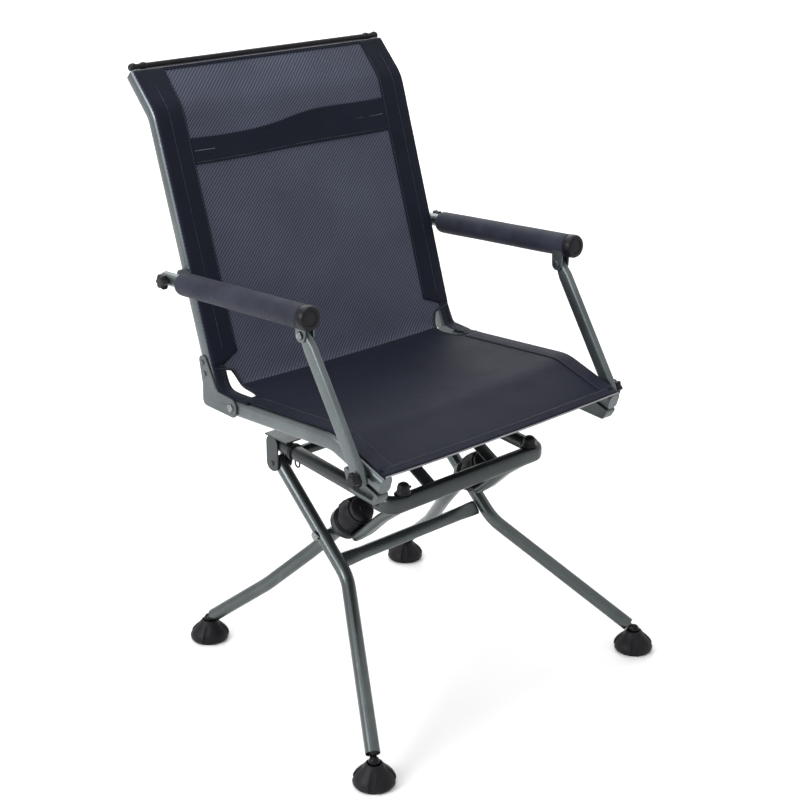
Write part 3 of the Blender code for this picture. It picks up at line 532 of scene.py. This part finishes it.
class Sling:
    """The fabric's line from the seat's front edge to the top tube, and points on the fabric."""

    def __init__(self):
        seat = [Vector(point) for point in swept_line("seat_sling", 0)]
        back = [Vector(point) for point in swept_line("back_sling", 1)]
        rear, low = seat[-1], back[0]
        corner = self.crossing(rear, seat[-1] - seat[-2], low, back[1] - back[0])
        bend = []
        for step in range(1, BEND_STEPS):
            t = step / BEND_STEPS
            weights = ((1 - t) ** 2, 2 * CORNER_PULL * t * (1 - t), t ** 2)
            bend.append(sum((point * weight for point, weight in zip((rear, corner, low), weights)),
                            Vector((0, 0))) / sum(weights))
        self.line = seat + bend + back
        self.lengths = [0.0]
        for before, after in zip(self.line, self.line[1:]):
            self.lengths.append(self.lengths[-1] + (after - before).length)
        self.total = self.lengths[-1]
        self.seat_end = self.lengths[len(seat) - 1]
        self.back_start = self.lengths[len(seat) + len(bend)]
        self.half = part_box("seat_sling")[1].x + SHEET_OVERHANG
        self.crease = self.seat_end + (corner - rear).length * 0.97

    @staticmethod
    def crossing(first, first_way, second, second_way):
        """Where the lines through the two places meet."""
        across = first_way.cross(second_way)
        return first + first_way * (second - first).cross(second_way) / across

    def place(self, along):
        """The (y, z) place that far along the line."""
        along = min(max(along, 0.0), self.total)
        for index in range(len(self.line) - 1):
            if along <= self.lengths[index + 1]:
                break
        span = self.lengths[index + 1] - self.lengths[index]
        return self.line[index].lerp(self.line[index + 1], (along - self.lengths[index]) / span)

    def way(self, along):
        step = 0.010
        return (self.place(along + step) - self.place(along - step)).normalized()

    def half_width(self, along):
        """Half the fabric's width, cut in beside the hinge."""
        start, end = self.seat_end - OPENING_BEFORE, self.back_start - OPENING_SHORT
        if along <= start:
            return self.half - SEAT_EDGE_GAP
        if along >= end:
            return self.half
        share = (along - start) / (end - start)
        shoulder = smooth_step(min(share, 1 - share) / 0.10)
        scoop = max(0.0, math.sin(math.pi * share)) ** 0.55
        return self.half - (self.half - RAIL_INNER_X) * shoulder - OPENING_DEPTH * scoop * shoulder

    def sag(self, x, along):
        """How far the fabric hangs below the faces of the rails."""
        across = max(0.0, 1 - (x / RAIL_INNER_X) ** 2)
        on_back = smooth_step((along - self.seat_end) / (self.back_start - self.seat_end))
        seat = SEAT_SAG * (0.25 + 0.75 * smooth_step(along / SEAT_SAG_REACH))
        back = BACK_SAG * smooth_step((self.total - along) / BACK_SAG_REACH)
        near_corner = 1 - abs(along - self.crease) / CORNER_SAG_REACH
        amount = seat * (1 - on_back) + back * on_back
        amount += (CORNER_SAG - amount) * smooth_step(near_corner)
        folds = FOLD_HEIGHT * noise.noise(Vector((x * 9, along * 7, 3.1)))
        over = max(0.0, abs(x) - (self.half - RAIL_EDGE_RADIUS))
        curl = RAIL_EDGE_RADIUS - math.sqrt(max(0.0, RAIL_EDGE_RADIUS ** 2 - over ** 2))
        return across ** 0.8 * amount + folds * across + curl * 0.6

    def point(self, x, along, lift=0.0):
        place, way = self.place(along), self.way(along)
        moved = place + Vector((-way.y, way.x)) * (lift - self.sag(x, along))
        return Vector((x, moved.x, moved.y))

    def at_height(self, z):
        """How far along the line the back reaches the height z."""
        low, high = self.back_start, self.total
        for _ in range(40):
            middle = (low + high) / 2
            low, high = (middle, high) if self.place(middle).y < z else (low, middle)
        return low


SLING = Sling()

# Where the blend from seat to back begins and ends
HINGE_START = (0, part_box("seat_sling")[1].y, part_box("seat_sling")[1].z - 0.012)
HINGE_END = (0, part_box("back_sling")[0].y + 0.006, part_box("back_sling")[0].z + 0.012)


def frange(start, end, count):
    return [start + (end - start) * index / (count - 1) for index in range(count)]


def sheet_mesh(name, columns, rows, surface, thickness, materials, material_of=None):
    """A thick sheet over columns(row) by rows, with the flat cloth's metres as its UV map."""
    bm = bmesh.new()
    layer = bm.loops.layers.uv.new("cloth")
    grid = []
    for along in rows:
        grid.append([(x, along, bm.verts.new(surface(x, along))) for x in columns(along)])
    for low, high in zip(grid, grid[1:]):
        for index in range(len(low) - 1):
            corners = (low[index], low[index + 1], high[index + 1], high[index])
            face = bm.faces.new([corner[2] for corner in corners])
            for loop, corner in zip(face.loops, corners):
                loop[layer].uv = corner[:2]
            if material_of:
                face.material_index = material_of(corners[0][1] + SAME_PLACE)
    mesh = bpy.data.meshes.new(name)
    bm.to_mesh(mesh)
    bm.free()
    mesh.shade_smooth()
    for material in materials:
        mesh.materials.append(material)
    obj = new_object(name, mesh)
    solid = obj.modifiers.new("thick", "SOLIDIFY")
    solid.thickness = thickness
    solid.offset = 0
    return obj


def over_hinge(piece):
    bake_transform(piece, "seat", "back", start=HINGE_START, end=HINGE_END)
    return piece


def on_sling(obj, material=None):
    return over_hinge(as_piece(obj, None, material))


def make_main_sheet():
    start, end = SLING.seat_end - FINE_ROWS_MARGIN, SLING.back_start - FINE_ROWS_MARGIN
    rows = (frange(0, start, 40) + frange(start, SLING.crease, 26)[1:] + frange(SLING.crease, end, 26)[1:]
            + frange(end, SLING.total, 70)[1:])

    def columns(along):
        half = SLING.half_width(along)
        side = [half - step for step in (0.0, 0.0015, 0.003, 0.006, 0.012, 0.020)]
        return [-x for x in side] + frange(-side[-1], side[-1], 39)[1:-1] + side[::-1]

    sheet = sheet_mesh("sling_sheet", columns, rows, SLING.point, SHEET_THICKNESS, (SEAT_FABRIC, MESH_FABRIC),
                       lambda along: int(along > SLING.crease))
    return on_sling(sheet)


def strip(name, columns, rows, lift, material, wave=None):
    """A narrow strip of cloth sewn on the sling; wave moves a point along the sling."""
    low, high = min(columns), max(columns)

    def surface(x, along):
        edge = smooth_step(min(x - low, high - x) / 0.002)
        shift = wave(x, along) if wave else 0
        pucker = PUCKER_HEIGHT * noise.noise(Vector((x * 55, along * 190, 7.7)))
        return SLING.point(x, along + shift, lift + (0.0004 + pucker) * edge)

    cloth = sheet_mesh(name, lambda along: columns, rows, surface, STRIP_THICKNESS, (material,))
    return on_sling(cloth)


def over_rail(sign, inner, outer=None):
    """Places across a border, from its inner edge out over the rail's rounded edge."""
    outer = outer or SLING.half - 0.0002
    places = [inner, inner + 0.0015, (inner + RAIL_INNER_X) / 2, RAIL_INNER_X, RAIL_INNER_X + 0.006,
              outer - 0.006, outer - 0.003, outer - 0.0012, outer]
    return sorted(sign * x for x in places)


def stitches(name, path, material=THREAD):
    """A row of short raised threads along a list of close points on the sling."""
    lengths = [0.0]
    for before, after in zip(path, path[1:]):
        lengths.append(lengths[-1] + (after - before).length)

    def at(distance):
        for index in range(len(path) - 1):
            if distance <= lengths[index + 1]:
                break
        part = (distance - lengths[index]) / (lengths[index + 1] - lengths[index])
        return path[index].lerp(path[index + 1], part)

    runs = []
    start = 0.0
    while start + STITCH_LENGTH < lengths[-1]:
        runs.append([at(start), at(start + STITCH_LENGTH)])
        start += STITCH_LENGTH + STITCH_GAP
    return on_sling(cord_object(name, runs, THREAD_RADIUS, 0), material)


def cord_on_sling(name, path, radius, material):
    return over_hinge(tube(name, path, radius, None, material))


def make_sling():
    sheet = make_main_sheet()
    trims = make_back_borders() + make_cross_band() + make_top_hem()
    trims += make_seat_trims() + make_corner_piping()
    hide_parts("seat_sling", "back_sling")


def make_back_borders():
    """Borders along the back's sides, slanting at their lower ends, and straps past the hinges."""
    trims = []
    border_low = SLING.back_start - BORDER_GAP

    def slant(x, along):
        low_share = max(0.0, 1 - (along - border_low) / BORDER_SLANT_REACH)
        return (BORDER_SLANT * low_share * (RAIL_INNER_X - min(abs(x), RAIL_INNER_X))
                / (RAIL_INNER_X - BORDER_INNER_X))

    for side, sign in SIDES:
        trims.append(strip(f"back_border_{side}", over_rail(sign, BORDER_INNER_X),
                           frange(border_low, SLING.total - 0.001, 80), 0.0012, BORDER_FABRIC,
                           slant))
        for label, x in (("inner", BORDER_INNER_X + 0.0025), ("outer", RAIL_INNER_X - 0.002)):
            path = [SLING.point(sign * x, along, SEAM_LIFT)
                    for along in frange(border_low + 0.024, SLING.total - 0.03, 80)]
            trims.append(stitches(f"border_stitch_{label}_{side}", path))
        trims.append(strip(f"hinge_strap_{side}", over_rail(sign, RAIL_INNER_X - 0.001),
                           frange(SLING.seat_end - 0.014, SLING.back_start + 0.022, 30), 0.0006,
                           BORDER_FABRIC))
        for number, x in enumerate((0.0005, 0.004, 0.0075)):
            path = [SLING.point(sign * (RAIL_INNER_X + x), along, STRAP_SEAM_LIFT)
                    for along in frange(SLING.seat_end - 0.004, SLING.back_start + 0.012, 40)]
            trims.append(stitches(f"hinge_strap_stitch_{number}_{side}", path))
    return trims


def make_cross_band():
    band_low, band_high = SLING.at_height(BAND_LOW_Z), SLING.at_height(BAND_HIGH_Z)
    span = band_high - band_low

    def wavy(x, along):
        """The band's upper edge rises in an S towards the left side; its lower edge is nearly straight."""
        share = (along - band_low) / span
        rise = 0.0075 * math.tanh((x - 0.01) / 0.05)
        return share * rise + 0.0012 * math.sin(x * 23 + 1.0) * (0.4 + share)

    inside = frange(-BORDER_INNER_X - 0.002, BORDER_INNER_X + 0.002, 97)
    trims = [strip("back_cross_band", inside, frange(band_low, band_high, 25), 0.0014, BORDER_FABRIC,
                   wavy)]
    for label, part, reaches, thread in (("low", 0.08, ((-0.190, 0.190),), THREAD),
                                         ("ends", 0.52, ((-0.188, -0.150), (0.130, 0.188)), LIGHT_PIPING)):
        along = band_low + span * part
        for number, (start, end) in enumerate(reaches):
            path = [SLING.point(x, along + wavy(x, along), SEAM_LIFT) for x in frange(start, end, 50)]
            trims.append(stitches(f"band_stitch_{label}_{number}", path, thread))
    return trims


def make_top_hem():
    across = frange(-BORDER_INNER_X - 0.002, BORDER_INNER_X + 0.002, 41)
    rows = frange(SLING.total - TOP_HEM_LENGTH, SLING.total - 0.0005, 7)
    hem = strip("top_hem", across, rows, 0.0011, BORDER_FABRIC)
    path = [SLING.point(x, SLING.total - 0.002, 0.0022)
            for x in frange(-SLING.half + 0.006, SLING.half - 0.006, 90)]
    return [hem, stitches("top_hem_stitch", path, LIGHT_PIPING)]


def make_seat_trims():
    """The front hem with its light piping, and the sides' hems, pressed over the rails."""
    half = SLING.half - SEAT_EDGE_GAP
    across = frange(-half + 0.0002, half - 0.0002, 61)
    trims = [strip("seat_front_hem", across, frange(0.0006, 0.017, 5), 0.0010, SEAT_FABRIC)]
    path = [SLING.point(x, 0.0, CORD_LIFT) for x in frange(-half + 0.001, half - 0.001, 60)]
    trims.append(cord_on_sling("seat_front_piping", path, 0.0012, LIGHT_PIPING))
    path = [SLING.point(x, 0.0145, SEAM_LIFT) for x in frange(-half + 0.012, half - 0.012, 90)]
    trims.append(stitches("seat_front_stitch", path, THREAD))
    for side, sign in SIDES:
        trims.append(strip(f"seat_hem_{side}", over_rail(sign, RAIL_INNER_X - 0.012, half - 0.0002),
                           frange(0.010, SLING.seat_end - 0.006, 34), 0.0010, SEAT_FABRIC))
        path = [SLING.point(sign * (RAIL_INNER_X - 0.0095), along, SEAM_LIFT)
                for along in frange(0.02, SLING.seat_end - 0.010, 60)]
        trims.append(stitches(f"seat_hem_stitch_{side}", path, THREAD))
    return trims


def make_corner_piping():
    """Bound edges of the openings beside the hinges."""
    trims = []
    start, end = SLING.seat_end - 0.004, SLING.back_start - 0.016
    for side, sign in SIDES:
        alongs = frange(start, end, 40)
        path = [SLING.point(sign * SLING.half_width(along), along, CORD_LIFT) for along in alongs]
        trims.append(cord_on_sling(f"corner_piping_{side}", path, 0.0021, PIPING))
        inner = [SLING.point(sign * (SLING.half_width(along) - 0.0042), along, 0.0012) for along in alongs]
        trims.append(stitches(f"corner_stitch_{side}", inner))
    return trims


# Arms

def build_sleeve(bm, rear, front, radius, sign):
    """A slightly uneven round sleeve, narrowed at both ends and bored through for the arm's tube."""
    along = (front - rear).normalized()
    up = Vector((0, -along.z, along.y))
    if up.z < 0:
        up.negate()
    length = (front - rear).length
    profile = [(0.0, 0.62), (0.0, 0.78), (0.0012, 0.90), (0.004, 0.98)]
    profile += [(0.004 + (length - 0.007) * step / PAD_RINGS, 1.0) for step in range(1, PAD_RINGS)]
    profile += [(length - 0.003, 1.0), (length - 0.001, 0.97), (length, 0.90), (length, 0.62)]
    rings = []
    for distance, scale in profile:
        ring = []
        for index in range(PAD_SIDES):
            turn = 2 * math.pi * index / PAD_SIDES
            spot = Vector((distance * 16, math.cos(turn) * 0.8, sign + math.sin(turn)))
            bulge = min(1 + 0.018 * noise.noise(spot), 1.012)
            reach = radius * scale * bulge * (0.985 if scale > 0.9 else 1)
            offset = Vector((1, 0, 0)) * math.cos(turn) * reach + up * math.sin(turn) * reach
            ring.append(bm.verts.new(rear + along * distance + offset))
        rings.append(ring)
    join_rings(bm, rings)
    bore = []
    for ring, end in ((rings[0], rear), (rings[-1], front)):
        bore.append([bm.verts.new(end + (v.co - end).normalized() * PAD_BORE_RADIUS) for v in ring])
    join_rings(bm, [rings[0], bore[0]])
    join_rings(bm, [rings[-1], bore[1]])
    join_rings(bm, bore)


def make_arm_pads():
    for side, sign in SIDES:
        pad = NODES[f"arm_pad_{side}"]
        low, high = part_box(pad.name)
        x = (low.x + high.x) / 2
        radius = (high.x - low.x) / 2
        rear = Vector((x, high.y, low.z + radius * 0.86 + 0.0005))
        front = Vector((x, low.y, high.z - radius * 0.93 - 0.0012))
        shape = mesh_object(f"foam_sleeve_{side}", lambda bm: build_sleeve(bm, rear, front, radius, sign), 60)
        sleeve = as_piece(shape, f"arm_{side}", FOAM)
        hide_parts(pad.name)



# Small fittings

def strap_round(name, centre, axis, radius, width, thickness, start, end, body, material):
    """A band bent round a tube, from one angle to another."""
    towards = Vector(axis).to_track_quat("Z", "Y").to_matrix().to_4x4()

    def build(bm):
        rows = []
        for turn in frange(math.radians(start), math.radians(end), 28):
            ring = []
            for reach, height in ((radius, -width / 2), (radius + thickness, -width / 2),
                                  (radius + thickness, width / 2), (radius, width / 2)):
                ring.append(bm.verts.new((math.cos(turn) * reach, math.sin(turn) * reach, height)))
            rows.append(ring)
        join_rings(bm, rows)
        bm.faces.new(rows[0])
        bm.faces.new(rows[-1])
        bmesh.ops.transform(bm, matrix=Matrix.Translation(centre) @ towards, verts=bm.verts)

    obj = mesh_object(name, build)
    bevel(obj, thickness * 0.3)
    return as_piece(obj, body, material)


def make_base_fittings():
    for side, sign in SIDES:
        make_side_tube_fittings(side)
        make_lock_knob_details(side)
        make_corner_bolt(side, sign)


def make_side_tube_fittings(side):
    """A clip round the side tube near its rear end, a wire loop below the clip, and an end plug."""
    low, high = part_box(f"base_side_tube_{side}")
    radius = (high.x - low.x) / 2
    slope = Vector((0, high.y - low.y, high.z - low.z - 2 * radius)).normalized()
    rear = Vector(((low.x + high.x) / 2, high.y, high.z - radius))
    clip = rear - slope * 0.043
    strap_round(f"tube_clip_{side}", clip, slope, radius + 0.0002, 0.007, 0.0022, -60, 240, "base",
                BLACK_PLASTIC)
    loop_top = clip + Vector((0, 0, -radius - 0.001))
    loop = [loop_top + Vector((0, 0.0055 * math.cos(turn) - 0.0055, -0.0045 + 0.0065 * math.sin(turn)))
            for turn in frange(math.radians(50), math.radians(-215), 26)]
    tube(f"clip_loop_{side}", loop, 0.0013, "base", BLACK_PLASTIC)
    plug = [(0.0, 0.0024), (radius * 0.62, 0.0022), (radius * 0.90, 0.0008), (radius * 0.98, -0.0008),
            (radius * 0.80, -0.0012), (0.0, -0.0012)]
    turned(f"side_tube_plug_{side}", plug, rear, slope, "base", BLACK_PLASTIC, 32)


def make_lock_knob_details(side):
    """A side pin and a stem that rise with the knob, and a collar on the tube below it."""
    low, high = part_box(f"leg_lock_knob_{side}")
    top = Vector(((low.x + high.x) / 2, (low.y + high.y) / 2, high.z))
    radius = (high.x - low.x) / 2
    pin = [(0.0, 0.0062), (0.0016, 0.0058), (0.0021, 0.0045), (0.0019, -0.0020), (0.0, -0.0020)]
    turned(f"lock_knob_pin_{side}", pin, top + Vector((0.0065, -0.0015, -0.0095)), (0.92, -0.25, 0.1),
           f"leg_lock_{side}", BLACK_PLASTIC, 20)
    stem = [(0.0, 0.0040), (0.0034, 0.0040), (0.0034, -0.0095), (0.0026, -0.0105), (0.0, -0.0105)]
    turned(f"lock_knob_stem_{side}", stem, Vector((top.x, top.y, low.z)), (0, 0, 1), f"leg_lock_{side}",
           BOLT_STEEL, 24)
    collar = [(radius * 0.70, 0.0), (radius * 1.22, 0.0), (radius * 1.22, 0.0008), (radius * 1.10, 0.0013),
              (radius * 1.02, 0.0013), (radius * 0.70, 0.0)]
    collar_place = Vector((top.x, top.y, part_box("base_front_tube")[1].z - 0.0006))
    turned(f"lock_knob_collar_{side}", collar, collar_place, (0, 0, 1), "base",
           BLACK_PLASTIC, 40)


def make_corner_bolt(side, sign):
    low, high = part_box("base_front_tube")
    place = Vector((sign * (high.x - 0.0008), low.y + 0.031, (low.z + high.z) / 2 + 0.002))
    bolt = [(0.0, 0.0034), (0.0028, 0.0033), (0.0046, 0.0022), (0.0050, 0.0006), (0.0050, -0.0030),
            (0.0, -0.0030)]
    turned(f"corner_bolt_{side}", bolt, place, Vector((sign, -0.12, 0)), "base",
           BLACK_PLASTIC, 24)


def build_foot(bm, middle, reach):
    rings = []
    for share, z in FOOT_PROFILE[1:-1]:
        depth = CHANNEL_DEPTH * smooth_step((z - 0.001) / 0.003) * smooth_step((0.0290 - z) / 0.008)
        depth *= smooth_step((share - 0.40) / 0.1)
        ring = []
        for index in range(FOOT_SEGMENTS):
            turn = 2 * math.pi * index / FOOT_SEGMENTS
            channel = smooth_step((-math.cos(FOOT_CHANNELS * turn) - 0.68) / 0.16)
            radius = reach * share * (1 - depth * channel)
            ring.append(bm.verts.new((middle.x + radius * math.cos(turn),
                                      middle.y + radius * math.sin(turn), z)))
        rings.append(ring)
    join_rings(bm, rings)
    for ring, (_, z) in ((rings[0], FOOT_PROFILE[0]), (rings[-1], FOOT_PROFILE[-1])):
        centre = bm.verts.new((middle.x, middle.y, z))
        for index in range(FOOT_SEGMENTS):
            bm.faces.new((centre, ring[index], ring[(index + 1) % FOOT_SEGMENTS]))


def make_feet():
    """Domed rubber feet with four moulded channels, each dished at the top for its leg's ball."""
    for end in ("front", "rear"):
        for side, _ in SIDES:
            low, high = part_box(f"{end}_foot_{side}")
            middle = (low + high) / 2
            reach = (high.x - low.x) / 2
            shape = mesh_object(f"rubber_foot_{end}_{side}", lambda bm: build_foot(bm, middle, reach), 50)
            foot = as_piece(shape, f"{end}_shoe_{side}", RUBBER)
            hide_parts(f"{end}_foot_{side}")


def make_top_tube_ends():
    """Two small tie lumps near each end of the tube along the back's top."""
    low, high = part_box("back_top_tube")
    middle = (low + high) / 2
    radius = (high.z - low.z) / 2
    for side, sign in SIDES:
        for number, offset in enumerate((0.006, 0.024)):
            centre = Vector((sign * (high.x - offset), middle.y, middle.z))
            lump = [(radius * 0.96, -0.0045), (radius * 1.14, -0.0040), (radius * 1.30, -0.0015),
                    (radius * 1.34, 0.0012), (radius * 1.12, 0.0042), (radius * 0.96, 0.0045)]
            turned(f"top_tube_tie_{number}_{side}", lump + [lump[0]], centre, (1, 0, 0), "back",
                   BLACK_PLASTIC, 32)


def make_knuckle_details():
    """A rim at each end of the knuckle's barrel, a stepped cap, and a clamp block along the barrel."""
    for side, sign in SIDES:
        low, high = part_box(f"knuckle_barrel_{side}")
        middle = (low + high) / 2
        for number, (offset, radius, half) in enumerate(((-0.0212, 0.0226, 0.0026),
                                                         (0.0155, 0.0207, 0.0018))):
            rib = [(radius - 0.0022, -half), (radius, -half * 0.8), (radius + 0.0012, -half * 0.3),
                   (radius + 0.0012, half * 0.3), (radius, half * 0.8), (radius - 0.0022, half)]
            turned(f"knuckle_rib_{number}_{side}", rib + [rib[0]], middle + KNUCKLE_AXIS * offset,
                   KNUCKLE_AXIS, "rear_legs", BLACK_PLASTIC, 40)
        cap = [(0.0, 0.0032), (0.0060, 0.0032), (0.0068, 0.0022), (0.0068, 0.0008), (0.0120, 0.0008),
               (0.0136, -0.0006), (0.0136, -0.0020), (0.0, -0.0020)]
        turned(f"knuckle_cap_{side}", cap, middle + KNUCKLE_AXIS * 0.0240, KNUCKLE_AXIS, "rear_legs",
               BLACK_PLASTIC, 40)
        knuckle_block(f"knuckle_block_{side}", middle, sign)


def knuckle_block(name, middle, sign):
    """A clamp block on the barrel, its outline carried across with a raised middle."""
    outline = [(-0.0150, BLOCK_FOOT), (-0.0150, 0.0235), (-0.0115, 0.0262), (0.0060, 0.0262),
               (0.0085, 0.0240), (0.0165, 0.0240), (0.0185, 0.0220), (0.0185, BLOCK_FOOT)]

    def build(bm):
        rows = []
        for across, grown in ((-0.0120, 0.90), (-0.0112, 1.0), (-0.0055, 1.0), (-0.0050, 1.06),
                              (0.0050, 1.06), (0.0055, 1.0), (0.0112, 1.0), (0.0120, 0.90)):
            rows.append([bm.verts.new(middle + KNUCKLE_AXIS * along
                                      + KNUCKLE_ABOVE * (BLOCK_FOOT + (up - BLOCK_FOOT) * grown)
                                      + Vector((sign * across, 0, 0))) for along, up in outline])
        join_rings(bm, rows)
        bm.faces.new(rows[0])
        bm.faces.new(rows[-1])

    obj = mesh_object(name, build, 30)
    bevel(obj, 0.0005)
    as_piece(obj, "rear_legs", BLACK_PLASTIC)



# Scene

def make_stage():
    bpy.ops.mesh.primitive_plane_add(size=80, location=(0, 0, -0.0005))
    floor = bpy.context.object
    floor.name = "floor"
    shader = Shader("floor_look", (0.90, 0.90, 0.90), 0.85)
    tones = ((0.3, (0.885, 0.885, 0.885)), (0.7, (0.91, 0.91, 0.91)))
    shader.colour(shader.ramp(shader.noise(2.0, 2), tones))
    floor.data.materials.append(shader.material)
    world = bpy.data.worlds.new("studio")
    world.use_nodes = True
    background = world.node_tree.nodes["Background"]
    background.inputs["Color"].default_value = (1, 1, 1, 1)
    background.inputs["Strength"].default_value = 0.93
    bpy.context.scene.world = world
    bpy.context.scene.view_settings.view_transform = "Standard"


def area_light(name, place, target, size, power):
    light = bpy.data.lights.new(name, "AREA")
    light.shape = "DISK"
    light.size = size
    light.energy = power
    lamp = new_object(name, light)
    lamp.location = place
    lamp.rotation_euler = (Vector(target) - Vector(place)).to_track_quat("-Z", "Y").to_euler()


def make_lights():
    middle = (0, 0, 0.45)
    area_light("key", (-2.4, 0.3, 1.6), middle, 1.2, 38)
    area_light("top", (-0.3, 0.6, 3.0), middle, 2.0, 26)
    area_light("behind", (3.0, 6.0, 5.0), (2.0, 6.0, 0), 7.0, 420)


def make_camera():
    back = Vector((math.sin(AZIMUTH) * math.cos(ELEVATION), -math.cos(AZIMUTH) * math.cos(ELEVATION),
                   math.sin(ELEVATION)))
    lens = bpy.data.cameras.new("camera")
    lens.sensor_width = 36
    lens.lens = LENS
    camera = new_object("camera", lens)
    camera.location = TARGET + back * DISTANCE
    camera.rotation_euler = (-back).to_track_quat("-Z", "Y").to_euler()
    bpy.context.scene.camera = camera


finish_cad_nodes()
make_sling()
make_arm_pads()
make_base_fittings()
make_top_tube_ends()
make_knuckle_details()
make_feet()
make_stage()
make_lights()
make_camera()
bpy.context.view_layer.update()
